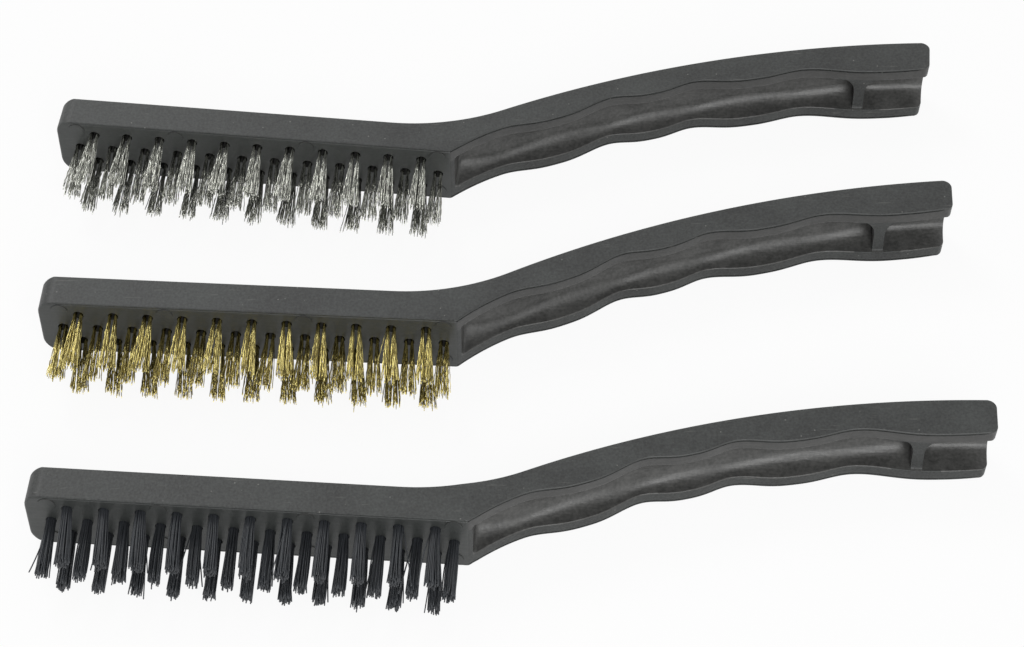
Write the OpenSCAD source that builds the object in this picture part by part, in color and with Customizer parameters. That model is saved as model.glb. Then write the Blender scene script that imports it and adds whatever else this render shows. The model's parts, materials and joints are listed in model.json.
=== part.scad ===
// A set of three scratch brushes with moulded wave grip handles, laid on their
// sides in a row: steel wire behind, brass wire in the middle, nylon in front.
// Each brush: head along +X from its tip, bristles out of the -Y face, back at +Y,
// lying on the side face at z = 0. Sizes in millimetres.

/* [Head] */
// whole brush, from the head tip to the tail of the handle
overall_len = 230; // [200:1:290]
// bristle block, from the tip to the step where the grip starts
head_len = 105.2; // [85:0.2:135]
// block and handle from side to side
head_w = 18.4; // [15:0.1:24]
// block from bristle face to back
head_t = 8.9; // [7.5:0.1:12]
// rounding of the two corners at the head tip
tip_round = 4.2; // [1:0.1:6]

/* [Bristles] */
// hole to hole along a row
tuft_pitch = 8.73; // [7:0.01:11]
// from one row of holes to the next
row_gap = 4.9; // [3.8:0.1:6]
// tip of the head to the first hole of the middle row
first_tuft = 5.85; // [4:0.05:9]
// drilled hole that a bundle is stapled into
hole_d = 2.6; // [1.6:0.1:3]
// depth of that hole
hole_depth = 6; // [4:0.1:8]
// bristles standing out of the face: steel wire, brass wire and nylon
steel_trim = 17; // [12:0.1:26]
brass_trim = 16.2; // [12:0.1:26]
nylon_trim = 15.8; // [12:0.1:26]
// a wire bundle across its cut end
wire_spread = 4.8; // [3:0.1:6]
// a nylon bundle across its cut end
nylon_spread = 3.4; // [2.6:0.1:5]
// room between a bundle and the wall of its hole
root_clear = 0.1; // [0.05:0.01:0.3]
// staple: length driven in, and thickness of its wire
staple_len = 1.5; // [1:0.1:2]
staple_t = 0.5; // [0.3:0.1:0.8]

/* [Handle back] */
// the back starts to rise this far before the end of the block
sweep_lead = 16.5; // [8:0.5:24]
// hollow bend at the neck
neck_r = 57; // [40:1:80]
// steepest slope of the handle, in degrees
rise_angle = 30.2; // [22:0.1:34]
// long arch of the back
arch_r = 298; // [240:1:400]

/* [Grip] */
// handle from back to front in the groove for the index finger
neck_t = 6.9; // [6:0.1:10]
// at the two grooves behind it, and at the swell between them
groove_t = 6.6; // [6:0.1:10]
swell_t = 8.4; // [7:0.1:12]
// at the swell in front of the palm, and the last groove
palm_t = 9.2; // [7:0.1:13]
last_groove_t = 7.7; // [6.5:0.1:11]
// at the tail
tail_t = 10.6; // [8:0.1:15]
// rounding of the tail corners, back and front
tail_round_back = 2.4; // [1:0.1:4]
tail_round_front = 2; // [1:0.1:5]

/* [Channel] */
// side walls of the open channel along the handle
rim = 3.6; // [2.4:0.1:5]
// back wall of the channel
web = 2.4; // [1.8:0.1:3.5]
// solid left between the block and the channel
channel_lead = 1; // [0.8:0.1:6]
// cross rib: distance of its middle from the tail, thickness, step back from the rims
rib_from_tail = 18; // [14:0.5:30]
rib_t = 2.8; // [2:0.1:5]
rib_back = 1.4; // [0.5:0.1:5]
// hole for hanging, through the back wall, and its distance from the tail
hang_d = 5; // [3.5:0.1:7]
hang_from_tail = 9.5; // [7:0.1:12]

/* [Laying out] */
// middle brush to the one behind and to the one in front, measured at the neck
space_behind = 57.3; // [45:0.1:90]
space_front = 61.2; // [45:0.1:90]
// shift along the row of each outer brush
slip_behind = -1.9; // [-10:0.1:10]
slip_front = 3.6; // [-10:0.1:10]
// each brush turned on the bench, in degrees
turn_steel = -5.9; // [-10:0.1:10]
turn_brass = -3.2; // [-10:0.1:10]
turn_nylon = -3.9; // [-10:0.1:10]
// how far each tail has sprung down as the moulding cooled
sprung_steel = 1; // [0:0.5:12]
sprung_brass = 0; // [0:0.5:12]
sprung_nylon = 10; // [0:0.5:12]

/* [Hidden] */
$fn = 32;

// back line: straight over the block, hollow bend, then one long arch
sweep_start = head_len - sweep_lead;
sweep_end = sweep_start + neck_r * sin(rise_angle);
sweep_end_y = head_t + neck_r * (1 - cos(rise_angle));
arch_x = sweep_end + arch_r * sin(rise_angle);
arch_y = sweep_end_y - arch_r * cos(rise_angle);
function back_line(x) =
  x < sweep_start ? head_t :
  x < sweep_end ? head_t + neck_r - sqrt(pow(neck_r, 2) - pow(x - sweep_start, 2)) :
  arch_y + sqrt(pow(arch_r, 2) - pow(x - arch_x, 2));

// a sprung tail leaves the straight block and leans in proportion to its length
grip_len = overall_len - head_len;
function lean(x, sprung) = sprung * max(0, x - head_len + 2) / grip_len;
function back_at(x, sprung) = back_line(x) - lean(x, sprung);

// grip: where each groove and swell comes along it, and the handle there
waves = [[0.101, neck_t], [0.219, palm_t], [0.323, groove_t], [0.415, swell_t],
         [0.495, groove_t + 0.2], [0.62, palm_t], [0.7275, last_groove_t], [0.904, tail_t]];
// between a swell and a groove: sharper in the groove than over the swell
function blend(u, down) = (1 - cos(180 * (down ? pow(u, 1.25) : 1 - pow(1 - u, 1.25)))) / 2;
function wave_t(u, i = 0) =
  u >= waves[7][0] ? tail_t - 0.8 * pow((u - waves[7][0]) / (1 - waves[7][0]), 2) :
  u < waves[i + 1][0] ? waves[i][1] + (waves[i + 1][1] - waves[i][1])
    * blend((u - waves[i][0]) / (waves[i + 1][0] - waves[i][0]), waves[i + 1][1] < waves[i][1]) :
  wave_t(u, i + 1);
step_t = back_line(head_len);
function grip_t(u) = u < waves[0][0]
  ? neck_t + (step_t - neck_t) * pow(1 - u / waves[0][0], 2) : wave_t(u);
function front_at(x, sprung) = back_at(x, sprung) - grip_t((x - head_len) / grip_len)
  + (x - head_len < 2 ? lean(x, sprung) * (1 - (x - head_len) / 2) : 0);

// tufts: twelve places in the middle row, one fewer in each outer row, half a step on
middle_count = floor((head_len - 2.5 - first_tuft) / tuft_pitch) + 1;
function row_count(row) = row == 0 ? middle_count : middle_count - 1;
function tuft_x(row, i) = first_tuft + (row == 0 ? 0 : tuft_pitch / 2) + i * tuft_pitch;
function row_z(row) = head_w / 2 + row * row_gap;

channel_x = head_len + channel_lead;
channel_w = head_w - 2 * rim;
rib_x = overall_len - rib_from_tail;
hang_x = overall_len - hang_from_tail;
neck_x = head_len + 12.8;
neck_y = back_line(neck_x) - neck_t / 2;
front_steps = 52;
back_steps = 26;

// side view of a brush: block, grip and rounded tail
module side_view(sprung) {
  rb = tail_round_back;
  rf = tail_round_front;
  end_back = back_at(overall_len - rb, sprung);
  end_front = front_at(overall_len - rf, sprung);
  polygon(concat(
    [[0, 0], [head_len, 0]],
    [for (i = [1 : front_steps - 1])
      let (x = head_len + (grip_len - rf) * i / front_steps) [x, front_at(x, sprung)]],
    [for (a = [-90 : 15 : 0]) [overall_len - rf + rf * cos(a), end_front + rf + rf * sin(a)]],
    [for (a = [0 : 15 : 90]) [overall_len - rb + rb * cos(a), end_back - rb + rb * sin(a)]],
    [for (i = [back_steps - 1 : -1 : 0])
      let (x = sweep_start + (overall_len - rb - sweep_start) * i / back_steps)
        [x, back_at(x, sprung)]],
    [[0, head_t]]
  ));
}

// everything in front of the channel's back wall
module channel_view(sprung, x0, x1, step) {
  polygon(concat(
    [for (i = [0 : 30]) let (x = x0 + (x1 - x0) * i / 30) [x, back_at(x, sprung) - web]],
    [for (i = [30 : -1 : 0]) let (x = x0 + (x1 - x0) * i / 30)
      [x, step > 0 ? front_at(x, sprung) + step : front_at(x, sprung) - 6]]
  ));
}

// cross rib seen from the front: straight in its lower half, flared into the upper rim
module rib(sprung) {
  r = channel_w / 2;
  intersection() {
    translate([0, 0, rim - 0.01]) linear_extrude(channel_w + 0.02)
      channel_view(sprung, rib_x - rib_t / 2 - r, rib_x + rib_t / 2 + r, rib_back);
    difference() {
      translate([rib_x - rib_t / 2 - r, -50, rim - 0.01]) cube([rib_t + 2 * r, 150, channel_w + 0.02]);
      for (s = [-1, 1]) translate([rib_x + s * (rib_t / 2 + r), 101, head_w / 2])
        rotate([90, 0, 0]) cylinder(r = r - 0.02, h = 152);
      for (s = [-1, 1]) translate([rib_x + s * (rib_t / 2 + 0.52 + r / 2), 25, rim + r / 2 - 0.5])
        cube([r + 1, 150, r + 1], center = true);
    }
  }
}

module tip_corner(z, turn) {
  translate([tip_round, -1, z]) rotate([-90, 0, 0]) rotate([0, 0, turn]) difference() {
    translate([-tip_round - 1, -tip_round - 1, 0]) cube([tip_round + 1, tip_round + 1, head_t + 2]);
    translate([0, 0, -1]) cylinder(r = tip_round, h = head_t + 4);
  }
}

module handle(sprung) {
  difference() {
    linear_extrude(head_w) side_view(sprung);
    tip_corner(tip_round, 270);
    tip_corner(head_w - tip_round, 0);
    translate([0, 0, rim]) linear_extrude(channel_w)
      channel_view(sprung, channel_x, overall_len + 1, 0);
    for (row = [-1 : 1]) for (i = [0 : row_count(row) - 1])
      translate([tuft_x(row, i), hole_depth, row_z(row)]) rotate([90, 0, 0])
        cylinder(d = hole_d, h = hole_depth + 1);
    translate([hang_x, back_at(hang_x, sprung) + 3, head_w / 2]) rotate([90, 0, 0])
      cylinder(d = hang_d, h = web + 8);
  }
  rib(sprung);
}

// one row of bundles: a stapled root in the hole and a spread brush end
module tufts(row, trim, spread) {
  root_r = hole_d / 2 - root_clear;
  tip_r = spread / 2;
  for (i = [0 : row_count(row) - 1])
    translate([tuft_x(row, i), hole_depth - staple_len, row_z(row)]) rotate([90, 0, 0]) {
      cylinder(r = root_r, h = hole_depth - staple_len);
      translate([0, 0, hole_depth - staple_len]) cylinder(r1 = root_r, r2 = tip_r, h = trim);
    }
}

// one row of staples at the bottom of the holes
module staples(row) {
  w = hole_d - 2 * root_clear - 0.1;
  for (i = [0 : row_count(row) - 1])
    translate([tuft_x(row, i) - staple_t / 2, hole_depth - staple_len, row_z(row) - w / 2])
      cube([staple_t, staple_len, w]);
}

// places one brush on the bench, turned about its neck
module lay(slip, space, turn) {
  translate([slip, space, 0]) rotate([0, 0, turn]) translate([-neck_x, -neck_y, 0]) children();
}
module lay_steel() { lay(slip_behind, space_behind, turn_steel) children(); }
module lay_brass() { lay(0, 0, turn_brass) children(); }
module lay_nylon() { lay(slip_front, -space_front, turn_nylon) children(); }

moulding = [0.15, 0.155, 0.16];
steel = [0.72, 0.72, 0.72];
brass = [0.78, 0.62, 0.25];
nylon = [0.09, 0.09, 0.1];

module steel_handle() { color(moulding) lay_steel() handle(sprung_steel); }
module steel_tufts_upper() { color(steel) lay_steel() tufts(1, steel_trim, wire_spread); }
module steel_tufts_middle() { color(steel) lay_steel() tufts(0, steel_trim, wire_spread); }
module steel_tufts_lower() { color(steel) lay_steel() tufts(-1, steel_trim, wire_spread); }
module steel_staples_upper() { color(steel) lay_steel() staples(1); }
module steel_staples_middle() { color(steel) lay_steel() staples(0); }
module steel_staples_lower() { color(steel) lay_steel() staples(-1); }

module brass_handle() { color(moulding) lay_brass() handle(sprung_brass); }
module brass_tufts_upper() { color(brass) lay_brass() tufts(1, brass_trim, wire_spread); }
module brass_tufts_middle() { color(brass) lay_brass() tufts(0, brass_trim, wire_spread); }
module brass_tufts_lower() { color(brass) lay_brass() tufts(-1, brass_trim, wire_spread); }
module brass_staples_upper() { color(steel) lay_brass() staples(1); }
module brass_staples_middle() { color(steel) lay_brass() staples(0); }
module brass_staples_lower() { color(steel) lay_brass() staples(-1); }

module nylon_handle() { color(moulding) lay_nylon() handle(sprung_nylon); }
module nylon_tufts_upper() { color(nylon) lay_nylon() tufts(1, nylon_trim, nylon_spread); }
module nylon_tufts_middle() { color(nylon) lay_nylon() tufts(0, nylon_trim, nylon_spread); }
module nylon_tufts_lower() { color(nylon) lay_nylon() tufts(-1, nylon_trim, nylon_spread); }
module nylon_staples_upper() { color(steel) lay_nylon() staples(1); }
module nylon_staples_middle() { color(steel) lay_nylon() staples(0); }
module nylon_staples_lower() { color(steel) lay_nylon() staples(-1); }

steel_handle();
steel_tufts_upper();
steel_tufts_middle();
steel_tufts_lower();
steel_staples_upper();
steel_staples_middle();
steel_staples_lower();
brass_handle();
brass_tufts_upper();
brass_tufts_middle();
brass_tufts_lower();
brass_staples_upper();
brass_staples_middle();
brass_staples_lower();
nylon_handle();
nylon_tufts_upper();
nylon_tufts_middle();
nylon_tufts_lower();
nylon_staples_upper();
nylon_staples_middle();
nylon_staples_lower();
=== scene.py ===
"""Three wave grip scratch brushes, steel wire, brass wire and nylon, laid on their sides."""

import json
import math

import bmesh
import bpy
import numpy as np
from mathutils import Matrix, Vector


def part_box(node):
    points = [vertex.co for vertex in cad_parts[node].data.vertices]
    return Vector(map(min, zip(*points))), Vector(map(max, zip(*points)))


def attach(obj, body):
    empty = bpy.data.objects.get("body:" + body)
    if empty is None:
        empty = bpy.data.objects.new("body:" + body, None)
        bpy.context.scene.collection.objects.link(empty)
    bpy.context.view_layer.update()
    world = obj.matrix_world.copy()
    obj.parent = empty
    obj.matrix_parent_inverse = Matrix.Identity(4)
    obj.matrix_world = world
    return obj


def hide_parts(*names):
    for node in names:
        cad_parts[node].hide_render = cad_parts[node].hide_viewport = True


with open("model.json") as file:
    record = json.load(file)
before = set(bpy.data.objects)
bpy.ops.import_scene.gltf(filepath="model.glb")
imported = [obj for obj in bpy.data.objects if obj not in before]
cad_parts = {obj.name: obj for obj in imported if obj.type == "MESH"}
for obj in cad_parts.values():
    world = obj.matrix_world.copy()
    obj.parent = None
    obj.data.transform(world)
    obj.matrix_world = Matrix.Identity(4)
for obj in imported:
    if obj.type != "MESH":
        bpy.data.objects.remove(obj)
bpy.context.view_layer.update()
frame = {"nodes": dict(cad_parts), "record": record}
MM = 0.001

# where along a brush its side rest is marked, past the end of the block
REST_PLACE = 12.8 * MM
# how far each brush's tail has sprung down
SPRUNG = {"steel": 1 * MM, "brass": 0.0, "nylon": 10 * MM}
# the finishes of a moulding, in the order of its material slots; FACE, CHANNEL and RIM are the
# plastic painted paler, as painted light
ERODED, FACE, CHANNEL, RUBBED_HIGHLIT, RIM = range(5)
# the rows of holes as a brush lies, from its middle line
ROWS = {"upper": 1, "middle": 0, "lower": -1}
# how the rows lean along the brush, in rise over run: at the tip and at the neck end of the block
LEANS = {
    "steel": {"upper": (0.0, 0.055), "middle": (0.07, 0.05), "lower": (0.03, 0.075)},
    "brass": {"upper": (0.02, 0.055), "middle": (0.04, 0.05), "lower": (0.11, 0.075)},
    "nylon": {"upper": (0.08, 0.02), "middle": (0.05, 0.0), "lower": (0.01, 0.03)},
}
# one bundle's lean away from its row's, along the brush and across it
LEAN_SCATTER = (0.016, 0.01)
SEEDS = {"steel": 11, "brass": 21, "nylon": 31}
POLYPROPYLENE_IOR, NYLON_IOR = 1.49, 1.53
# name, place, side of the square and watts of each lamp
LAMPS = (("key", (-0.55, 0.78, 0.95), 0.5, 4.2), ("fill", (0.2, -1.0, 0.85), 0.8, 9.0))
WORLD_LIGHT, FLOOR_WHITE = 0.42, 0.91
CAMERA_LENS, CAMERA_DISTANCE, CAMERA_UP = 94.56, 0.69, math.radians(50.01)
CAMERA_TARGET = (0.00021, 0.00163)

bl_info = {
    "name": "Scratch brush set",
    "version": (1, 0, 0),
    "blender": (4, 5, 0),
    "location": "3D View > Sidebar > Scratch brushes",
    "description": "Moulded handles, wire and nylon bundles and a stage for three scratch brushes",
    "category": "Object",
}


def linear(code):
    """A colour written as sRGB hex, as the linear values that Blender works in."""
    parts = [int(code[i:i + 2], 16) / 255 for i in (1, 3, 5)]
    return tuple(c / 12.92 if c <= 0.04045 else ((c + 0.055) / 1.055) ** 2.4 for c in parts)


def length(name, description, mm):
    """A length that a user can change, given in millimetres."""
    return bpy.props.FloatProperty(name=name, description=description, default=mm * MM,
                                   min=0.0, precision=5, unit="LENGTH", subtype="DISTANCE")


def colour(name, description, code):
    """A colour that a user can change, given as sRGB hex."""
    return bpy.props.FloatVectorProperty(name=name, description=description, default=linear(code),
                                         min=0.0, max=1.0, size=3, subtype="COLOR")


class HandleSizes(bpy.types.PropertyGroup):
    """The moulded block and handle, the same for all three brushes"""
    overall_len: length("Length", "Whole brush, from the head tip to the tail", 230)
    head_len: length("Block length", "From the tip to the step where the grip starts", 105.2)
    head_w: length("Width", "Block and handle from side to side", 18.4)
    head_t: length("Block thickness", "From the bristle face to the back", 8.9)
    tip_round: length("Tip rounding", "The two corners at the head tip", 4.2)
    sweep_lead: length("Sweep lead", "From the start of the back's rise to the end of the block",
                       16.5)
    neck_r: length("Neck bend", "Radius of the hollow bend in the back", 57)
    rise: bpy.props.FloatProperty(name="Rise", description="Steepest slope of the handle",
                                  default=math.radians(30.2), unit="ROTATION", subtype="ANGLE")
    arch_r: length("Arch", "Radius of the long arch of the back", 298)
    neck_t: length("Neck", "Handle in the groove for the index finger", 6.9)
    groove_t: length("Grooves", "Handle in the next two grooves", 6.6)
    swell_t: length("Swell", "Handle at the swell between those grooves", 8.4)
    palm_t: length("Palm swells", "Handle at the two large swells", 9.2)
    last_groove_t: length("Last groove", "Handle in the groove before the tail", 7.7)
    tail_t: length("Tail", "Handle at the tail", 10.6)
    tail_round_back: length("Tail back corner", "Rounding at the back of the tail", 2.4)
    tail_round_front: length("Tail front corner", "Rounding at the front of the tail", 2)
    edge_round: length("Edge rounding", "Broken edges all round the side faces", 0.3)
    step_round: length("Step rounding", "Rounding where the block steps down to the grip", 1.3)
    scoop: bpy.props.FloatProperty(name="Channel scoop", default=2.3, min=2.0, max=12.0,
                                   description="2 for an oval channel, more for a squarer one")
    tail_draft: length("Tail draft", "How much shorter the tail is at its lower side", 0.9)
    rim: length("Rim", "Side walls of the open channel", 3.6)
    web: length("Channel back", "Wall at the bottom of the channel", 2.4)
    channel_lead: length("Channel lead", "Solid left between the block and the channel", 1)
    rib_from_tail: length("Rib place", "Middle of the cross rib, from the tail", 18)
    rib_t: length("Rib", "Cross rib at its narrowest", 2.8)
    rib_back: length("Rib step", "How far the rib stands back from the rims", 1.4)
    hang_d: length("Hanging hole", "Hole through the back of the channel", 5)
    hang_from_tail: length("Hanging hole place", "From the tail to the hole", 9.5)
    pin_d: length("Pin marks", "Round marks that the ejector pins left on the bristle face", 4.4)
    pin_rise: length("Pin mark rise", "How far those marks stand proud", 0.2)


class BundleSizes(bpy.types.PropertyGroup):
    """The bundles of wire or filament and the holes they stand in"""
    pitch: length("Pitch", "Hole to hole along a row", 8.73)
    row_gap: length("Row gap", "From one row of holes to the next", 4.9)
    first: length("First hole", "Tip of the head to the first hole of the middle row", 5.85)
    hole_d: length("Hole", "Blind hole that a bundle is stapled into", 2.6)
    hole_depth: length("Hole depth", "Depth of that hole", 6)
    steel_trim: length("Steel trim", "Steel wire standing out of the face", 17)
    brass_trim: length("Brass trim", "Brass wire standing out of the face", 16.2)
    nylon_trim: length("Nylon trim", "Nylon standing out of the face", 15.8)
    wire_spread: length("Wire spread", "A wire bundle across its cut end", 4.8)
    nylon_spread: length("Nylon spread", "A nylon bundle across its cut end", 3.4)
    wire_d: length("Wire", "Thickness of one wire", 0.25)
    filament_d: length("Filament", "Thickness of one nylon filament", 0.34)
    crimp: length("Crimp", "Wave to wave along a crimped wire", 2.9)
    crimp_h: length("Crimp height", "How far a crimp throws the wire to each side", 0.075)
    wires: bpy.props.IntProperty(name="Wires", description="Wires in half a bundle",
                                 default=24, min=4, max=30)
    filaments: bpy.props.IntProperty(name="Filaments", description="Filaments in a nylon bundle",
                                     default=52, min=8, max=90)


class BrushColours(bpy.types.PropertyGroup):
    """Colours of the real materials"""
    plastic: colour("Plastic", "Grey-black polypropylene", "#2E302F")
    core: colour("Polished plastic", "The same plastic where the core formed it", "#313130")
    steel: colour("Steel wire", "Bright drawn stainless steel", "#DCDDD4")
    brass: colour("Brass wire", "Drawn brass", "#DDCF88")
    nylon: colour("Nylon", "Black nylon filament", "#2B2E32")
    staple: colour("Staple", "Drawn steel strip", "#B9BABA")
    floor: colour("Floor", "White laminate", "#F8F8F8")


# ---- shared making ------------------------------------------------------------------------------

def place_of(kind):
    """Where one brush lies: from its own lengthways frame to the bench. The rest mount marks its
    neck, and the hanging hole's axis gives the way it is turned."""
    mounts = {m["name"]: m for m in frame["record"]["mounts"]}
    neck = mounts[kind + "_side_rest"]["pos_m"]
    axis = mounts[kind + "_hang_hole"]["axis"]
    s = bpy.context.scene.brush_handle
    x = s.head_len + REST_PLACE
    back_to_origin = Matrix.Translation((-x, -(SideView(s, 0.0).back(x) - s.neck_t / 2), 0))
    turn = Matrix.Rotation(math.atan2(-axis[0], axis[1]), 4, "Z")
    return Matrix.Translation(neck) @ turn @ back_to_origin


def show(name, mesh, body, stands_for, materials):
    """Puts a finished mesh in the scene as a piece of one brush, in place of its CAD nodes."""
    piece = bpy.data.objects.new(name, mesh)
    bpy.context.scene.collection.objects.link(piece)
    for m in materials:
        mesh.materials.append(m)
    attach(piece, body)
    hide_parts(*stands_for)
    return piece


def skin(name, rings):
    """A closed object through rings of points, in order, with a flat end on each side."""
    bm = bmesh.new()
    loops = [[bm.verts.new(p) for p in ring] for ring in rings]
    count = len(rings[0])
    for one, two in zip(loops, loops[1:]):
        for i in range(count):
            j = (i + 1) % count
            bm.faces.new((one[i], one[j], two[j], two[i]))
    bm.faces.new(loops[0][::-1])
    bm.faces.new(loops[-1])
    if bm.calc_volume(signed=True) < 0:
        bmesh.ops.reverse_faces(bm, faces=bm.faces)
    mesh = bpy.data.meshes.new(name)
    bm.to_mesh(mesh)
    bm.free()
    piece = bpy.data.objects.new(name, mesh)
    bpy.context.scene.collection.objects.link(piece)
    return piece


def joined(pieces):
    """One object from several that don't touch."""
    bm = bmesh.new()
    for p in pieces:
        bm.from_mesh(p.data)
    bm.to_mesh(pieces[0].data)
    bm.free()
    for p in pieces[1:]:
        bpy.data.objects.remove(p)
    return pieces[0]


def settle(piece):
    """Makes what the modifiers show the object's own mesh."""
    shown = piece.evaluated_get(bpy.context.evaluated_depsgraph_get())
    mesh = bpy.data.meshes.new_from_object(shown)
    piece.modifiers.clear()
    piece.data = mesh


def volume(mesh):
    """What a closed mesh holds."""
    bm = bmesh.new()
    bm.from_mesh(mesh)
    held = bm.calc_volume()
    bm.free()
    return held


def combine(piece, tool, how):
    """Cuts the tool's shape out of a piece, or adds it, and takes the tool away."""
    before = volume(piece.data)
    cut = piece.modifiers.new("cut", "BOOLEAN")
    cut.operation, cut.object, cut.solver = how, tool, "MANIFOLD"
    settle(piece)
    bpy.data.objects.remove(tool)
    change = volume(piece.data) / before - 1
    change = change if how == "UNION" else -change
    if not 1e-6 < change < 0.6:
        raise RuntimeError("a tool left no mark on " + piece.name)


# ---- moulded handles ----------------------------------------------------------------------------

class SideView:
    """A brush from the side: x along it from the tip, y up to its back, 0 at the bristle face."""
    # the tail starts to spring down this far before the end of the block
    spring_lead = 2 * MM
    # how much thinner the handle is at its very end than at its tail swell
    tail_fall = 0.8 * MM
    # over 1, this makes the swells fuller and the grooves narrower than plain waves
    fullness = 1.25

    def __init__(self, s, sprung):
        self.s, self.sprung = s, sprung
        self.sweep_start = s.head_len - s.sweep_lead
        self.sweep_end = self.sweep_start + s.neck_r * math.sin(s.rise)
        self.arch_x = self.sweep_end + s.arch_r * math.sin(s.rise)
        self.arch_y = s.head_t + s.neck_r * (1 - math.cos(s.rise)) - s.arch_r * math.cos(s.rise)
        self.grip_len = s.overall_len - s.head_len
        # where each groove and swell comes along the grip, and the handle there
        self.waves = [(0.101, s.neck_t), (0.219, s.palm_t), (0.323, s.groove_t), (0.415, s.swell_t),
                      (0.495, s.groove_t + 0.2 * MM), (0.62, s.palm_t), (0.7275, s.last_groove_t),
                      (0.904, s.tail_t)]

    def line(self, x):
        """The back of an unsprung brush."""
        s = self.s
        if x < self.sweep_start:
            return s.head_t
        if x < self.sweep_end:
            return s.head_t + s.neck_r - math.sqrt(s.neck_r ** 2 - (x - self.sweep_start) ** 2)
        return self.arch_y + math.sqrt(s.arch_r ** 2 - (x - self.arch_x) ** 2)

    def lean(self, x):
        """How far the brush has sprung down at x."""
        return self.sprung * max(0.0, x - self.s.head_len + self.spring_lead) / self.grip_len

    def back(self, x):
        return self.line(x) - self.lean(x)

    def thick(self, u):
        """The handle from back to front, u from 0 at the block to 1 at the tail."""
        first, last = self.waves[0], self.waves[-1]
        if u < first[0]:
            return first[1] + (self.line(self.s.head_len) - first[1]) * (1 - u / first[0]) ** 2
        if u >= last[0]:
            return last[1] - self.tail_fall * ((u - last[0]) / (1 - last[0])) ** 2
        for a, b in zip(self.waves, self.waves[1:]):
            if u < b[0]:
                t = (u - a[0]) / (b[0] - a[0])
                t = t ** self.fullness if b[1] < a[1] else 1 - (1 - t) ** self.fullness
                return a[1] + (b[1] - a[1]) * (1 - math.cos(math.pi * t)) / 2

    def front(self, x):
        past = x - self.s.head_len
        near = self.lean(x) * max(0.0, 1 - past / self.spring_lead)
        return self.back(x) - self.thick(past / self.grip_len) + near


def rounded(before, corner, after, r, steps=4):
    """A corner taken round: points from the line before it to the line after it."""
    a, b, c = (Vector(p) for p in (before, corner, after))
    one, two = (a - b).normalized(), (c - b).normalized()
    half = one.angle(two) / 2
    middle = b + (one + two).normalized() * r / math.sin(half)
    start, end = b + one * r / math.tan(half) - middle, b + two * r / math.tan(half) - middle
    start, end = start.normalized(), end.normalized()
    return [middle + start.slerp(end, i / steps) * r for i in range(steps + 1)]


def outline(s, view):
    """The side view as one closed line, and how deep the witness line is at each point: full on the
    front of the grip, faint on the block, none on the tail and back."""
    rf, rb, e = s.tail_round_front, s.tail_round_back, s.edge_round
    end_front, end_back = view.front(s.overall_len - rf), view.back(s.overall_len - rb)
    quarter = [math.radians(9 * i) for i in range(11)]
    step, n = 1 * MM, 132
    after_step = (s.head_len + step, view.front(s.head_len + step))
    front = rounded((0, s.head_t), (0, 0), (s.head_len, 0), 2.2 * e)
    front += [Vector((s.head_len * i / 12, 0)) for i in range(1, 12)]
    front += rounded((0, 0), (s.head_len, 0), after_step, s.step_round, 6)
    front += [Vector((x, view.front(x))) for x in
              (s.head_len + step + (view.grip_len - rf - step) * i / n for i in range(n))]
    tail = [Vector((s.overall_len - rf + rf * math.sin(a), end_front + rf - rf * math.cos(a)))
            for a in quarter]
    tail += [Vector((s.overall_len - rb + rb * math.cos(a), end_back - rb + rb * math.sin(a)))
             for a in quarter]
    span, n = s.overall_len - rb - view.sweep_start, 90
    back = [Vector((x, view.back(x))) for x in
            (view.sweep_start + span * i / n for i in range(n - 1, -1, -1))]
    back += [Vector((view.sweep_start * i / 8, s.head_t)) for i in range(7, 0, -1)]
    back += rounded((view.sweep_start, s.head_t), (0, s.head_t), (0, 0), 3.2 * e)
    marks = [0.3 if p.x < s.head_len else 1.0 for p in front]
    return front + tail + back, marks + [0.0] * (len(tail) + len(back))


def drawn_in(points, by):
    """The outline with each point moved in by its own amount."""
    out = []
    for i, p in enumerate(points):
        a = (p - points[i - 1]).normalized()
        b = (points[(i + 1) % len(points)] - p).normalized()
        m = (a + b).normalized()
        out.append(p + Vector((-m.y, m.x)) * by[i] / max(m.dot(a), 0.5))
    return out


def body_of_brush(s, view):
    """The solid block and handle: the outline stacked from one side face to the other, with the
    edges broken and a fine witness line where the two halves of the mould met."""
    points, marks = outline(s, view)
    e, w, r = s.edge_round, s.head_w, s.tip_round
    drafted, line = 9 * MM, 0.3 * MM
    # levels from one side to the middle: height, how far the outline is drawn in, the line's depth
    half = [(e * (1 - math.cos(a)), e * (1 - math.sin(a)), 0.0)
            for a in (math.radians(22.5 * i) for i in range(5))]
    half += [(e + 0.08 * MM, 0, 0), (e + 0.2 * MM, 0, line), (e + 0.42 * MM, 0, line),
             (e + 0.5 * MM, 0, 0.04 * MM)]
    half += [(r * t, 0, 0) for t in (0.28, 0.42, 0.6, 0.8, 1.0)]
    levels = half + [(w - z, inset, depth) for z, inset, depth in reversed(half)]
    rings = []
    for z, inset, depth in levels:
        # the tip's corners, and the last of the tail, which is shorter at its lower side
        deep = max(0.0, r - min(z, w - z))
        tip = r - math.sqrt(r * r - deep * deep)
        ring = drawn_in(points, [inset + depth * m for m in marks])
        ring = [Vector((tip + p.x * (r - tip) / r if p.x < r else p.x, p.y)) for p in ring]
        tail, short = s.overall_len - drafted, s.tail_draft * (1 - z / w)
        rings.append([Vector((p.x - short * max(0.0, p.x - tail) / drafted, p.y, z)) for p in ring])
    return skin("body", rings)


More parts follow.
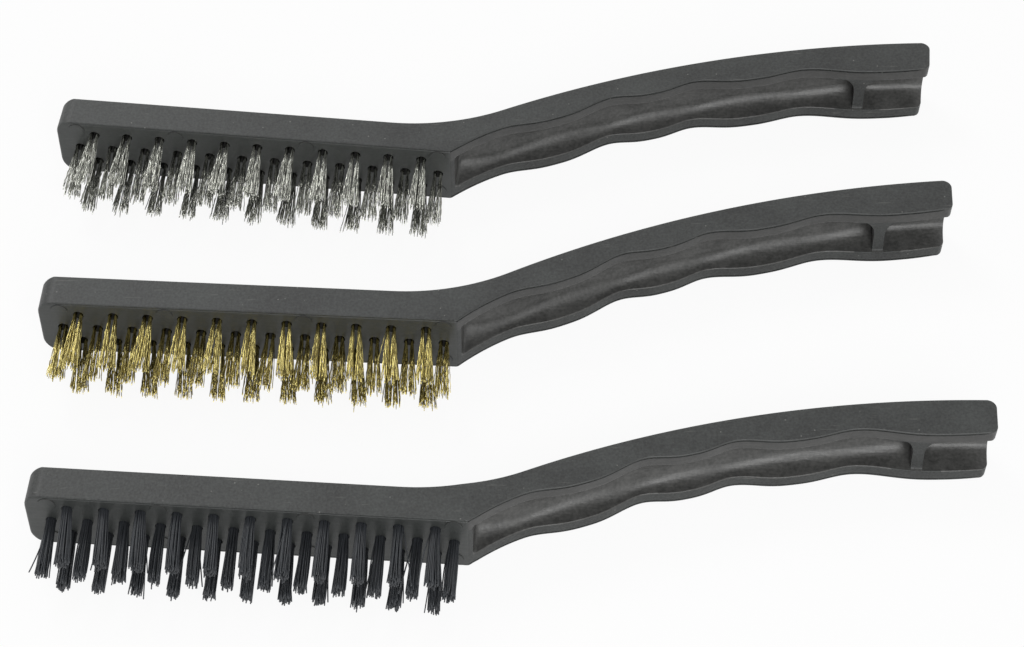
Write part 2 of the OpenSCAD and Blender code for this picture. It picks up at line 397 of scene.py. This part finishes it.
def slot_tool(s, view, stations, power, mouth=0.3 * MM):
    """A tool for cutting a lengthways slot into the front of the handle, through stations of
    (x, half width, how far the bottom stays short of the channel's back wall, or a depth, how far
    the slot sits below the middle). Its section is a U that is rounder the nearer the power is
    to 2, and mouth is the rounding where it meets the front."""
    rings = []
    for x, half, short, depth, low in stations:
        top = view.front(x)
        floor = view.back(x) - s.web - short if depth is None else top + depth
        side = [(top - 4 * MM, half + mouth), (top, half + mouth)]
        side += [(top + mouth * (1 - math.cos(a)), half + mouth * (1 - math.sin(a)))
                 for a in (math.radians(30 * i) for i in (1, 2, 3))]
        side += [(top + mouth + (floor - top - mouth) * math.sin(a) ** (2 / power),
                  half * math.cos(a) ** (2 / power))
                 for a in (math.radians(7.5 * i) for i in range(1, 12))]
        ring = side + [(floor, 0)] + [(y, -z) for y, z in reversed(side)]
        rings.append([Vector((x, y, s.head_w / 2 - low + z)) for y, z in ring])
    return skin("slot", rings)


def turned_tool(centre, profile, steps=24):
    """A round tool on an axis along y, through (y, radius) pairs."""
    cx, cz = centre
    turns = [2 * math.pi * i / steps for i in range(steps)]
    return skin("drill", [[Vector((cx + r * math.cos(a), y, cz + r * math.sin(a))) for a in turns]
                          for y, r in profile])


def bundle_places(s, b, row):
    """Centres (x, z) of the holes in a row: -1 is the lowest as the brush lies, 1 the highest."""
    middle = int((s.head_len - 2.5 * MM - b.first) / b.pitch) + 1
    count, start = (middle, b.first) if row == 0 else (middle - 1, b.first + b.pitch / 2)
    return [(start + i * b.pitch, s.head_w / 2 + row * b.row_gap) for i in range(count)]


def channel_tools(s, view):
    """Tools for the two pockets, before and behind the rib, and for the rib's step back."""
    half = s.head_w / 2 - s.rim
    start, rib_x = s.head_len + s.channel_lead, s.overall_len - s.rib_from_tail
    before, after = rib_x - s.rib_t / 2 - half, rib_x + s.rib_t / 2 + half
    f, past_tail = 0.9 * MM, s.overall_len + 3 * MM
    turns = [math.radians(a) for a in (0, 10, 20, 30, 40, 50, 58, 66, 74, 81, 87)]
    # at the rib both pockets are round in their upper half and straight in their lower half
    bend = [(half * math.sin(a), half * (1 + math.cos(a)) / 2, half * (1 - math.cos(a)) / 2)
            for a in turns]
    # the long pocket: square at the block, with its corners rounded
    long_slot = [(start + f * (1 - math.cos(a)), half - f * (1 - math.sin(a)),
                  f * (1 - math.sin(a)), None, 0) for a in (math.radians(18 * i) for i in range(6))]
    long_slot += [(start + f + (before - start - f) * i / 90, half, 0, None, 0)
                  for i in range(1, 90)]
    long_slot += [(before + x, wide, 0, None, low) for x, wide, low in bend]
    # the short pocket: open at the tail
    tail_slot = [(after - x, wide, 0, None, low) for x, wide, low in reversed(bend)]
    tail_slot += [(after + (past_tail - after) * i / 12, half, 0, None, 0) for i in range(1, 13)]
    pockets = joined([slot_tool(s, view, long_slot, s.scoop),
                      slot_tool(s, view, tail_slot, 1.5 * s.scoop)])
    # the rib stands back from the rims
    over_rib = [(before + 1 * MM + (after - before - 2 * MM) * i / 14, half, 0, s.rib_back, 0)
                for i in range(15)]
    return pockets, slot_tool(s, view, over_rib, 1.3 * s.scoop, 0.08 * MM)


def hole_tools(s, b, view):
    """One tool for the bristle holes and the hanging hole, all with their mouths broken."""
    r, broken, over = b.hole_d / 2, 0.06 * MM, 1 * MM
    tools = [turned_tool(at, [(-over, r + broken + over), (0, r + broken), (broken, r),
                              (b.hole_depth, r)])
             for row in (-1, 0, 1) for at in bundle_places(s, b, row)]
    x = s.overall_len - s.hang_from_tail
    back, r, broken, over = view.back(x), s.hang_d / 2, 0.35 * MM, 3 * MM
    profile = [(back - s.web - 4 * MM, r), (back - broken, r), (back, r + broken),
               (back + over, r + broken + over)]
    tools.append(turned_tool((x, s.head_w / 2), profile, 40))
    return joined(tools)


def pin_marks(s, b):
    """The raised marks that the ejector pins left along both sides of the bristle face."""
    marks = []
    for i in (0, 3, 7, 11):
        x = b.first + i * b.pitch - (0.35 * MM if i == 0 else 0)
        marks += [turned_tool((x, z), [(-s.pin_rise, s.pin_d / 2 - 0.12 * MM),
                                       (0.5 * MM, s.pin_d / 2)], 36)
                  for z in (s.head_w - 2.75 * MM, 2.75 * MM)]
    return joined(marks)


def moulded_handle(s, b, view):
    """One handle with its channel, rib, holes and pin marks."""
    piece = body_of_brush(s, view)
    for tool in channel_tools(s, view):
        combine(piece, tool, "DIFFERENCE")
    combine(piece, hole_tools(s, b, view), "DIFFERENCE")
    combine(piece, pin_marks(s, b), "UNION")
    return piece


def finish_at(s, b, view, at, facing):
    """Which finish a face of the moulding has. The sides are spark eroded, the core that made the
    front is polished and painted paler as painted light, and the edges of the grip are rubbed
    and a little pale, partly wear and partly a painted highlight."""
    on_block = at.x < s.head_len
    between_rims = s.rim * 0.9 < at.z < s.head_w - s.rim * 0.9
    from_rib = abs(at.x - s.overall_len + s.rib_from_tail)
    rib_reach = s.rib_t / 2 + s.head_w / 2 - s.rim - 1 * MM
    # the broken edges; on the grip they are rubbed and paler, partly wear and partly a painted
    # highlight
    if min(at.z, s.head_w - at.z) < s.edge_round * 1.02 and abs(facing.z) < 0.98:
        return RUBBED_HIGHLIT if at.x > s.head_len - 1 * MM else ERODED
    # the walls of the pin marks, painted paler as painted light
    if on_block and at.y < -0.02 * MM and facing.y > -0.9:
        return RIM
    if between_rims:
        # the walls of the bristle holes, painted paler as painted light
        if (2 * MM < at.x < s.head_len - 2 * MM and 0.3 * MM < at.y < b.hole_depth
                and abs(facing.y) < 0.5):
            return CHANNEL
        # the front of the rib, left without the painted light so that it stays darker
        if (from_rib < rib_reach and at.y < view.front(at.x) + 1.05 * s.rib_back
                and facing.y < -0.2):
            return ERODED
        # the channel, painted paler as painted light that lifts its shade
        if (at.x > s.head_len + s.channel_lead * 0.9 and at.y < view.back(at.x) - 0.6 * s.web
                and facing.y < 0.9):
            return CHANNEL
    # the fronts of the two rims: the upper one painted paler as painted light, the lower one plain
    if at.x > s.head_len and facing.y < -0.5:
        return RIM if at.z > s.head_w / 2 else ERODED
    # the bristle face, painted a little paler as painted light
    return FACE if on_block and at.y < b.hole_depth and facing.y < -0.3 else ERODED


def check_place(kind, mesh):
    """Stops if a moulding doesn't fill the box of its CAD body."""
    made = [[end(v.co[k] for v in mesh.vertices) for k in range(3)] for end in (min, max)]
    apart = [abs(p - q) for want, got in zip(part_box(kind + "_handle"), made)
             for p, q in zip(want, got)]
    if max(apart) > 1 * MM:
        raise RuntimeError(kind + " handle isn't where its CAD body is")


class SCRATCH_BRUSH_OT_handles(bpy.types.Operator):
    """Mould the three handles"""
    bl_idname = "scratch_brush.handles"
    bl_label = "Moulded handles"

    def execute(self, context):
        s, b = context.scene.brush_handle, context.scene.brush_bundles
        c = context.scene.brush_colours
        # the face, channel and rim finishes are the plastic painted paler, as painted light
        # in the order of ERODED, FACE, CHANNEL, RUBBED_HIGHLIT and RIM
        finishes = [eroded_polypropylene(),
                    polished_painted_light_polypropylene("face", c.plastic, 1.4, 0.4, 0.12),
                    polished_painted_light_polypropylene("channel", c.core, 2.2, 0.33, 0.35),
                    rubbed_highlit_polypropylene(),
                    polished_painted_light_polypropylene("rim", c.core, 1.5, 0.42, 0.2)]
        for kind, sprung in SPRUNG.items():
            view = SideView(s, sprung)
            made = moulded_handle(s, b, view)
            mesh = made.data
            bpy.data.objects.remove(made)
            mesh.name = name = kind + "_moulding"
            mesh.materials.clear()
            mesh.polygons.foreach_set("use_smooth", [True] * len(mesh.polygons))
            mesh.set_sharp_from_angle(angle=math.radians(34))
            for face in mesh.polygons:
                face.material_index = finish_at(s, b, view, face.center, face.normal)
            mesh.transform(place_of(kind))
            check_place(kind, mesh)
            piece = show(name, mesh, kind + "_brush", [kind + "_handle"],
                         finishes)
            weighted = piece.modifiers.new("even shading", "WEIGHTED_NORMAL")
            weighted.keep_sharp, weighted.weight = True, 80
        return {"FINISHED"}


# ---- bundles ------------------------------------------------------------------------------------

def strands(name, paths, thick, sides=4):
    """One mesh of many strands, open at their roots and closed at their cut ends. paths holds
    strands of the same number of points."""
    count, steps = paths.shape[:2]
    a = 2 * np.pi * (np.arange(sides) + 0.5) / sides
    ring = np.stack([np.cos(a), 0 * a, np.sin(a)], 1)
    verts = paths[:, :, None, :] + ring * np.asarray(thick).reshape(-1, 1, 1, 1) / 2
    first = (np.arange(count) * steps * sides)[:, None, None]
    along = (np.arange(steps - 1) * sides)[None, :, None]
    k, nxt = np.arange(sides), (np.arange(sides) + 1) % sides
    walls = np.stack([first + along + k, first + along + sides + k,
                      first + along + sides + nxt, first + along + nxt], -1).reshape(-1, 4)
    ends = first[:, 0, :] + (steps - 1) * sides + k[None, :]
    mesh = bpy.data.meshes.new(name)
    mesh.from_pydata(verts.reshape(-1, 3).tolist(), [], walls.tolist() + ends[:, ::-1].tolist())
    mesh.polygons.foreach_set("use_smooth", [True] * len(walls) + [False] * len(ends))
    mesh.validate()
    return mesh


def packed(rng, count, tries=14):
    """Evenly scattered points in a circle of radius 1."""
    got = []
    while len(got) < count:
        options = rng.uniform(-1, 1, (tries * 3, 2))
        options = options[(options ** 2).sum(1) < 1][:tries]
        if got:
            gaps = [min(((o - g) ** 2).sum() for g in got) for o in options]
            options = options[[int(np.argmax(gaps))]]
        got.append(options[0])
    return np.array(got)


def send_astray(rng, tip, share, by):
    """Moves the tips of a share of the strands out of their bundle."""
    stray = rng.random(len(tip)) < share
    tip[stray] += rng.normal(0, by, (int(stray.sum()), 2))


def cut_lengths(rng, count, trim, ragged, short):
    """How far each strand stands out of the face: unevenly cut, and 12 in 100 left short."""
    return (trim + rng.normal(-0.1 * MM, ragged, count)
            - (rng.random(count) < 0.12) * rng.uniform(0, short, count))


def points_along(steps, reach, inside, trim):
    """How far out of the face each point of each strand is, in metres and over the trim."""
    t = np.linspace(0, 1, steps)[None, :] * (reach[:, None] + inside) - inside
    return t, np.clip(t / trim, 0, None)


def strand_paths(at, trim, lean, root, tip, bend, t, u, throw=(0.0, 0.0)):
    """Strands from their place in the hole to their place at the cut end, bowed by bend, thrown
    to the sides by throw and leaning with their bundle."""
    x, z = (at[k] + (root[:, k, None] + (tip[:, k] - root[:, k])[:, None] * u
                     + bend[:, k, None] * u * (1 - u)) + throw[k] + lean[k] * u * trim
            for k in (0, 1))
    return np.stack([x, -t, z], -1)


def wire_bundle(rng, at, b, trim, lean):
    """Paths of the wires of one bundle: two halves, one each side of the staple, each a narrow
    point at the hole that opens evenly to the cut end."""
    inside, r, flare, n = 3 * MM, b.hole_d / 2, b.wire_spread / 2, b.wires
    steps = int((trim + inside) / (b.crimp / 4)) + 2
    out = []
    for side in (-1, 1):
        place = packed(rng, n)
        root = place * np.array([0.22 * r, 0.62 * r]) + np.array([side * 0.56 * r, 0])
        opened = rng.uniform(0.82, 1.1)
        tip = place * np.array([0.49, 0.8]) * flare * opened + np.array([side * 0.42 * flare, 0])
        tip += rng.normal(0, 0.2 * MM, (n, 2))
        send_astray(rng, tip, 0.05, 0.8 * MM)
        t, u = points_along(steps, cut_lengths(rng, n, trim, 0.3 * MM, 3 * MM), inside, trim)
        bend = rng.normal(0, 0.4 * MM, (n, 2))
        # each wire is crimped in a plane of its own, and the crimp is pressed flat at the root
        wave = b.crimp * rng.normal(1, 0.08, n)
        turn, start = rng.uniform(0, np.pi, n), rng.uniform(0, 1, n)
        throw = b.crimp_h * rng.uniform(0.5, 1.3, n)[:, None]
        throw = throw * np.sin(2 * np.pi * (t / wave[:, None] + start[:, None]))
        throw *= np.clip(0.2 + 1.6 * u, 0, 1)
        out.append(strand_paths(at, trim, lean, root, tip, bend, t, u,
                                (throw * np.cos(turn)[:, None], throw * np.sin(turn)[:, None])))
    return np.concatenate(out)


def nylon_bundle(rng, at, b, trim, lean):
    """Paths of the filaments of one bundle: dense, nearly straight and ragged at the tips."""
    inside, n = 2.5 * MM, b.filaments
    place = packed(rng, n)
    root = place * 0.84 * (b.hole_d / 2)
    tip = place * 0.46 * b.nylon_spread + rng.normal(0, 0.13 * MM, (n, 2))
    send_astray(rng, tip, 0.035, 1.3 * MM)
    t, u = points_along(11, cut_lengths(rng, n, trim, 0.4 * MM, 2.5 * MM), inside, trim)
    bend = 2 * rng.normal(0, 0.3 * MM, (n, 2))
    return strand_paths(at, trim, lean, root, tip, bend, t, u)


def fill_rows(context, kind, bundle, trim, thick, sides, finish):
    """Fills the three rows of one brush with bundles, each row as one piece."""
    s, b = context.scene.brush_handle, context.scene.brush_bundles
    place = np.array(place_of(kind))
    for name, row in ROWS.items():
        rng = np.random.default_rng(SEEDS[kind] + row)
        at_tip, at_neck = LEANS[kind][name]
        paths = []
        for at in bundle_places(s, b, row):
            along = at[0] / s.head_len
            lean = at_tip * (1 - along) + at_neck * along
            lean = (lean + rng.normal(0, LEAN_SCATTER[0]), rng.normal(0, LEAN_SCATTER[1]))
            paths.append(bundle(rng, at, b, trim, lean))
        paths = np.concatenate(paths) @ place[:3, :3].T + place[:3, 3]
        if paths[..., 2].min() < 0.2 * MM:
            raise RuntimeError("bristles reach through the floor")
        mesh = strands(kind + "_bristles_" + name, paths,
                       thick * rng.uniform(0.88, 1.1, len(paths)), sides)
        show(mesh.name, mesh, kind + "_brush", [kind + "_tufts_" + name], [finish])


class SCRATCH_BRUSH_OT_wires(bpy.types.Operator):
    """Fill the steel and brass brushes with crimped wire"""
    bl_idname = "scratch_brush.wires"
    bl_label = "Wire bundles"

    def execute(self, context):
        b, c = context.scene.brush_bundles, context.scene.brush_colours
        # bright drawn stainless steel: a mirror-like skin, its darker wires painted grey as painted
        # shade
        stainless = drawn_wire("stainless_steel_drawn", c.steel, "#5C5D58", 0.3, 0.18)
        fill_rows(context, "steel", wire_bundle, b.steel_trim, b.wire_d, 4, stainless)
        # drawn brass: pale yellow metal, its darker wires painted olive brown, partly tarnish and
        # partly painted shade
        brass = drawn_wire("brass_drawn", c.brass, "#6B6036", 0.32, 0.2)
        fill_rows(context, "brass", wire_bundle, b.brass_trim, b.wire_d, 4, brass)
        return {"FINISHED"}


class SCRATCH_BRUSH_OT_nylon(bpy.types.Operator):
    """Fill the nylon brush with straight filament"""
    bl_idname = "scratch_brush.nylon"
    bl_label = "Nylon bundles"

    def execute(self, context):
        b = context.scene.brush_bundles
        fill_rows(context, "nylon", nylon_bundle, b.nylon_trim, b.filament_d, 5,
                  extruded_nylon())
        return {"FINISHED"}


class SCRATCH_BRUSH_OT_staples(bpy.types.Operator):
    """Give the staples in the bottoms of the holes their finish"""
    bl_idname = "scratch_brush.staples"
    bl_label = "Staples"

    def execute(self, context):
        finish = drawn_staple()
        for name, node in frame["nodes"].items():
            if "_staples_" in name:
                node.data.materials.clear()
                node.data.materials.append(finish)
        return {"FINISHED"}


# ---- materials ----------------------------------------------------------------------------------

def node(tree, kind, inputs=None, **settings):
    """Adds one node: settings are its own, inputs are values or other nodes' outputs."""
    made = tree.nodes.new(kind)
    for key, value in settings.items():
        setattr(made, key, value)
    return feed(made, inputs or {})


def feed(made, inputs):
    """Sets or links inputs of a node that is there."""
    for key, value in inputs.items():
        if isinstance(value, bpy.types.NodeSocket):
            made.id_data.links.new(value, made.inputs[key])
        else:
            made.inputs[key].default_value = value
    return made


def new_finish(name):
    """An empty material and its shader: (material, tree, shader, place on the object)."""
    made = bpy.data.materials.new(name)
    made.use_nodes = True
    tree = made.node_tree
    place = tree.nodes.new("ShaderNodeTexCoord").outputs["Object"]
    return made, tree, tree.nodes["Principled BSDF"], place


def streaks(tree, place, sizes, detail):
    """A noise of its own size in each direction."""
    run = node(tree, "ShaderNodeMapping", {"Vector": place, "Scale": [1 / size for size in sizes]})
    return node(tree, "ShaderNodeTexNoise", {"Vector": run.outputs[0], "Scale": 1.0,
                                             "Detail": detail}).outputs[0]


def eroded_polypropylene():
    """Grey-black polypropylene from a spark eroded cavity: a fine even grain that breaks up the
    sheen, faint cloudiness from the melt and small pale specks and scuffs from handling. The real
    grain is about 0.1 mm and is drawn coarser, so that it shows."""
    c = bpy.context.scene.brush_colours
    made, tree, shader, place = new_finish("polypropylene_spark_eroded")
    grain = node(tree, "ShaderNodeTexNoise", {"Vector": place, "Scale": 1 / (0.62 * MM),
                                              "Detail": 3.0})
    cloud = node(tree, "ShaderNodeTexNoise", {"Vector": place, "Scale": 1 / (14 * MM),
                                              "Detail": 4.0, "Roughness": 0.6})
    scuff = streaks(tree, place, (9 * MM, 0.8 * MM, 0.8 * MM), 3.0)
    scuffed = node(tree, "ShaderNodeMapRange", {"Value": scuff, "From Min": 0.66, "From Max": 0.8,
                                                "To Min": 0.0, "To Max": 0.35})
    spot = node(tree, "ShaderNodeTexVoronoi", {"Vector": place, "Scale": 1 / (3.4 * MM)})
    speck = node(tree, "ShaderNodeMapRange", {"Value": spot.outputs["Distance"], "From Min": 0.07,
                                              "From Max": 0.035, "To Min": 0.0, "To Max": 0.5})
    both = node(tree, "ShaderNodeMath", {0: cloud.outputs[0], 1: grain.outputs[0]},
                operation="ADD")
    tint = node(tree, "ShaderNodeMapRange", {"Value": both.outputs[0], "From Min": 0.7,
                                             "From Max": 1.3, "To Min": 0.35, "To Max": 1.65})
    body = node(tree, "ShaderNodeMix", {"Factor": 1.0, 6: (*c.plastic, 1), 7: tint.outputs[0]},
                data_type="RGBA", blend_type="MULTIPLY")
    marks = node(tree, "ShaderNodeMath", {0: scuffed.outputs[0], 1: speck.outputs[0]},
                 operation="MAXIMUM")
    pale = node(tree, "ShaderNodeMix", {"Factor": marks.outputs[0], 6: body.outputs[2],
                                        7: (*linear("#8F8F8A"), 1)}, data_type="RGBA")
    rough = node(tree, "ShaderNodeMapRange", {"Value": cloud.outputs[0], "From Min": 0.3,
                                              "From Max": 0.7, "To Min": 0.46, "To Max": 0.54})
    bump = node(tree, "ShaderNodeBump", {"Height": grain.outputs[0], "Strength": 0.8,
                                         "Distance": 0.08 * MM})
    feed(shader, {"Base Color": pale.outputs[2], "Roughness": rough.outputs[0],
                  "Normal": bump.outputs[0], "IOR": POLYPROPYLENE_IOR})
    return made


def polished_painted_light_polypropylene(part, base, lift, gloss, mottle):
    """The same plastic from the polished core: satin, with soft flow lines along the handle that
    stretch its highlights, and painted paler than the eroded sides as painted light that lifts
    their shade. lift is how much paler it is painted, gloss its roughness and mottle how uneven
    its tone is."""
    made, tree, shader, place = new_finish("polypropylene_polished_" + part)
    flow = streaks(tree, place, (6 * MM, 0.8 * MM, 0.8 * MM), 4.0)
    cloud = node(tree, "ShaderNodeTexNoise", {"Vector": place, "Scale": 1 / (6 * MM),
                                              "Detail": 4.0, "Roughness": 0.65})
    fine = node(tree, "ShaderNodeTexNoise", {"Vector": place, "Scale": 1 / (0.8 * MM),
                                             "Detail": 3.0})
    both = node(tree, "ShaderNodeMath", {0: cloud.outputs[0], 1: fine.outputs[0]}, operation="ADD")
    # lift paints this plastic paler: painted light
    tint = node(tree, "ShaderNodeMapRange", {"Value": both.outputs[0],
                                             "From Min": 0.75, "From Max": 1.25,
                                             "To Min": (1 - mottle) * lift,
                                             "To Max": (1 + mottle) * lift})
    body = node(tree, "ShaderNodeMix", {"Factor": 1.0, 6: (*base, 1), 7: tint.outputs[0]},
                data_type="RGBA", blend_type="MULTIPLY", clamp_result=False)
    rough = node(tree, "ShaderNodeMapRange", {"Value": flow, "From Min": 0.3, "From Max": 0.7,
                                              "To Min": gloss - 0.05, "To Max": gloss + 0.07})
    height = node(tree, "ShaderNodeMath", {0: fine.outputs[0], 1: 2 * mottle, 2: flow},
                  operation="MULTIPLY_ADD")
    bump = node(tree, "ShaderNodeBump", {"Height": height.outputs[0], "Strength": 0.45,
                                         "Distance": 0.12 * MM})
    feed(shader, {"Base Color": body.outputs[2], "Roughness": rough.outputs[0],
                  "Normal": bump.outputs[0], "IOR": POLYPROPYLENE_IOR})
    return made


def rubbed_highlit_polypropylene():
    """The edges of the grip, rubbed smooth in the box and in the hand, and a little pale in
    patches:
    partly wear and partly a painted highlight along the rounded edges.
    """
    c = bpy.context.scene.brush_colours
    made, tree, shader, place = new_finish("polypropylene_rubbed_edge_highlight")
    wear_and_highlight = node(tree, "ShaderNodeTexNoise", {"Vector": place, "Scale": 1 / (2.2 * MM),
                                             "Detail": 5.0, "Roughness": 0.7})
    tone = node(tree, "ShaderNodeMapRange", {"Value": wear_and_highlight.outputs[0], "From Min": 0.32,
                                             "From Max": 0.52})
    # pale patches: partly wear, partly a painted highlight along the edges
    body = node(tree, "ShaderNodeMix", {"Factor": tone.outputs[0], 6: (*c.plastic, 1),
                                        7: (*linear("#3A3C3B"), 1)}, data_type="RGBA")
    rough = node(tree, "ShaderNodeMapRange", {"Value": tone.outputs[0], "To Min": 0.52,
                                              "To Max": 0.42})
    feed(shader, {"Base Color": body.outputs[2], "Roughness": rough.outputs[0],
                  "IOR": POLYPROPYLENE_IOR})
    return made


def drawn_wire(name, bright, dull, dull_gloss, bright_gloss):
    """Bright drawn wire: a tone as wide as one wire and 6 mm long makes each wire lighter or darker
    than the next, and the darker ones less glossy. The darker tone is painted shade, given to
    wires at random, that stands in for the dark things the wires mirror."""
    made, tree, shader, place = new_finish(name)
    wire = streaks(tree, place, (0.26 * MM, 6 * MM, 0.26 * MM), 1.0)
    tone = node(tree, "ShaderNodeMapRange", {"Value": wire, "From Min": 0.36, "From Max": 0.6})
    # the dull colour is painted shade
    body = node(tree, "ShaderNodeMix", {"Factor": tone.outputs[0], 6: (*linear(dull), 1),
                                        7: (*bright, 1)}, data_type="RGBA")
    rough = node(tree, "ShaderNodeMapRange", {"Value": wire, "To Min": dull_gloss,
                                              "To Max": bright_gloss})
    feed(shader, {"Base Color": body.outputs[2], "Roughness": rough.outputs[0], "Metallic": 1.0})
    return made


def extruded_nylon():
    """Black extruded nylon filament: a soft gloss, and each one lighter or darker than the next."""
    c = bpy.context.scene.brush_colours
    made, tree, shader, place = new_finish("nylon_extruded")
    strand = streaks(tree, place, (0.4 * MM, 12 * MM, 0.4 * MM), 1.0)
    tint = node(tree, "ShaderNodeMapRange", {"Value": strand, "From Min": 0.3, "From Max": 0.7,
                                             "To Min": 0.8, "To Max": 1.25})
    body = node(tree, "ShaderNodeMix", {"Factor": 1.0, 6: (*c.nylon, 1), 7: tint.outputs[0]},
                data_type="RGBA", blend_type="MULTIPLY")
    rough = node(tree, "ShaderNodeMapRange", {"Value": strand, "To Min": 0.42, "To Max": 0.56})
    feed(shader, {"Base Color": body.outputs[2], "Roughness": rough.outputs[0], "IOR": NYLON_IOR})
    return made


def drawn_staple():
    """Drawn steel strip, pressed flat: dull grey, a little uneven from the die."""
    c = bpy.context.scene.brush_colours
    made, tree, shader, place = new_finish("staple_steel_drawn")
    fine = node(tree, "ShaderNodeTexNoise", {"Vector": place, "Scale": 1 / (0.3 * MM),
                                             "Detail": 2.0})
    body = node(tree, "ShaderNodeMix", {"Factor": fine.outputs[0], 6: (*linear("#6F7072"), 1),
                                        7: (*c.staple, 1)}, data_type="RGBA")
    feed(shader, {"Base Color": body.outputs[2], "Metallic": 1.0, "Roughness": 0.4})
    return made


# ---- stage --------------------------------------------------------------------------------------

def seen_directly(tree):
    """1 for what the camera, a mirror or glass looks at, 0 for what only lights the object."""
    path = tree.nodes.new("ShaderNodeLightPath")
    either = node(tree, "ShaderNodeMath", {0: path.outputs["Is Camera Ray"],
                                           1: path.outputs["Is Glossy Ray"]}, operation="MAXIMUM")
    seen = node(tree, "ShaderNodeMath", {0: either.outputs[0],
                                         1: path.outputs["Is Transmission Ray"]},
                operation="MAXIMUM")
    return seen.outputs[0]


def white_laminate():
    """White laminate bench: matt, and mostly lit by itself where it is looked at, so that it is
    nearly white and shows only a soft shadow under the brushes."""
    c = bpy.context.scene.brush_colours
    made, tree, shader, place = new_finish("laminate_white")
    fine = node(tree, "ShaderNodeTexNoise", {"Vector": place, "Scale": 1 / (2 * MM),
                                             "Detail": 2.0})
    tone = node(tree, "ShaderNodeMapRange", {"Value": fine.outputs[0], "To Min": 0.99,
                                             "To Max": 1.01})
    body = node(tree, "ShaderNodeMix", {"Factor": 1.0, 6: (*c.floor, 1), 7: tone.outputs[0]},
                data_type="RGBA", blend_type="MULTIPLY")
    feed(shader, {"Base Color": body.outputs[2], "Roughness": 0.7, "Specular IOR Level": 0.2})
    glow = node(tree, "ShaderNodeEmission", {"Color": (1, 1, 1, 1), "Strength": 1.0})
    share = node(tree, "ShaderNodeMath", {0: seen_directly(tree), 1: FLOOR_WHITE},
                 operation="MULTIPLY")
    both = node(tree, "ShaderNodeMixShader", {0: share.outputs[0], 1: shader.outputs[0],
                                              2: glow.outputs[0]})
    feed(tree.nodes["Material Output"], {"Surface": both.outputs[0]})
    return made


class SCRATCH_BRUSH_OT_stage(bpy.types.Operator):
    """Lay the floor, hang the lamps and set up the camera"""
    bl_idname = "scratch_brush.stage"
    bl_label = "Stage"

    def execute(self, context):
        scene = context.scene
        # 8 m square and 20 mm thick, its top a hair under the brushes
        floor = skin("floor", [[Vector((x, y, z)) for x, y in ((-4, -4), (4, -4), (4, 4), (-4, 4))]
                               for z in (-20 * MM, -0.05 * MM)])
        floor.data.materials.append(white_laminate())

        world = bpy.data.worlds.new("studio")
        world.use_nodes = True
        scene.world = world
        tree = world.node_tree
        light = feed(tree.nodes["Background"], {"Color": (1, 1, 1, 1), "Strength": WORLD_LIGHT})
        white = node(tree, "ShaderNodeBackground", {"Color": (1, 1, 1, 1), "Strength": 1.0})
        both = node(tree, "ShaderNodeMixShader", {0: seen_directly(tree), 1: light.outputs[0],
                                                  2: white.outputs[0]})
        feed(tree.nodes["World Output"], {"Surface": both.outputs[0]})

        for name, at, size, power in LAMPS:
            lamp = bpy.data.lights.new(name, "AREA")
            lamp.shape, lamp.size, lamp.energy = "SQUARE", size, power
            holder = bpy.data.objects.new(name, lamp)
            holder.location = at
            holder.rotation_euler = (-Vector(at)).to_track_quat("-Z", "Y").to_euler()
            scene.collection.objects.link(holder)

        lens = bpy.data.cameras.new("camera")
        lens.sensor_width, lens.lens = 36.0, CAMERA_LENS
        lens.clip_start, lens.clip_end = 0.02, 20.0
        camera = bpy.data.objects.new("camera", lens)
        camera.location = (CAMERA_TARGET[0],
                           CAMERA_TARGET[1] - CAMERA_DISTANCE * math.cos(CAMERA_UP),
                           CAMERA_DISTANCE * math.sin(CAMERA_UP))
        camera.rotation_euler = (math.pi / 2 - CAMERA_UP, 0, 0)
        scene.collection.objects.link(camera)
        scene.camera = camera
        scene.view_settings.view_transform = "Standard"
        return {"FINISHED"}


class SCRATCH_BRUSH_PT_panel(bpy.types.Panel):
    """Sizes, colours and making steps"""
    bl_idname = "SCRATCH_BRUSH_PT_panel"
    bl_label = "Scratch brushes"
    bl_space_type = "VIEW_3D"
    bl_region_type = "UI"
    bl_category = "Scratch brushes"

    def draw(self, context):
        for name, kind in GROUPS.items():
            box = self.layout.box()
            for field in kind.__annotations__:
                box.prop(getattr(context.scene, name), field)
        for step in STEPS:
            self.layout.operator(step.bl_idname)


STEPS = (SCRATCH_BRUSH_OT_stage, SCRATCH_BRUSH_OT_handles, SCRATCH_BRUSH_OT_wires,
         SCRATCH_BRUSH_OT_nylon, SCRATCH_BRUSH_OT_staples)
GROUPS = {"brush_handle": HandleSizes, "brush_bundles": BundleSizes, "brush_colours": BrushColours}
CLASSES = (*GROUPS.values(), *STEPS, SCRATCH_BRUSH_PT_panel)


def register():
    for c in CLASSES:
        bpy.utils.register_class(c)
    for name, group in GROUPS.items():
        setattr(bpy.types.Scene, name, bpy.props.PointerProperty(type=group))


def unregister():
    for name in GROUPS:
        delattr(bpy.types.Scene, name)
    for c in reversed(CLASSES):
        bpy.utils.unregister_class(c)


def main():
    """Makes everything in order."""
    register()
    bpy.ops.scratch_brush.stage()
    bpy.ops.scratch_brush.handles()
    bpy.ops.scratch_brush.wires()
    bpy.ops.scratch_brush.nylon()
    bpy.ops.scratch_brush.staples()


if __name__ == "__main__":
    main()
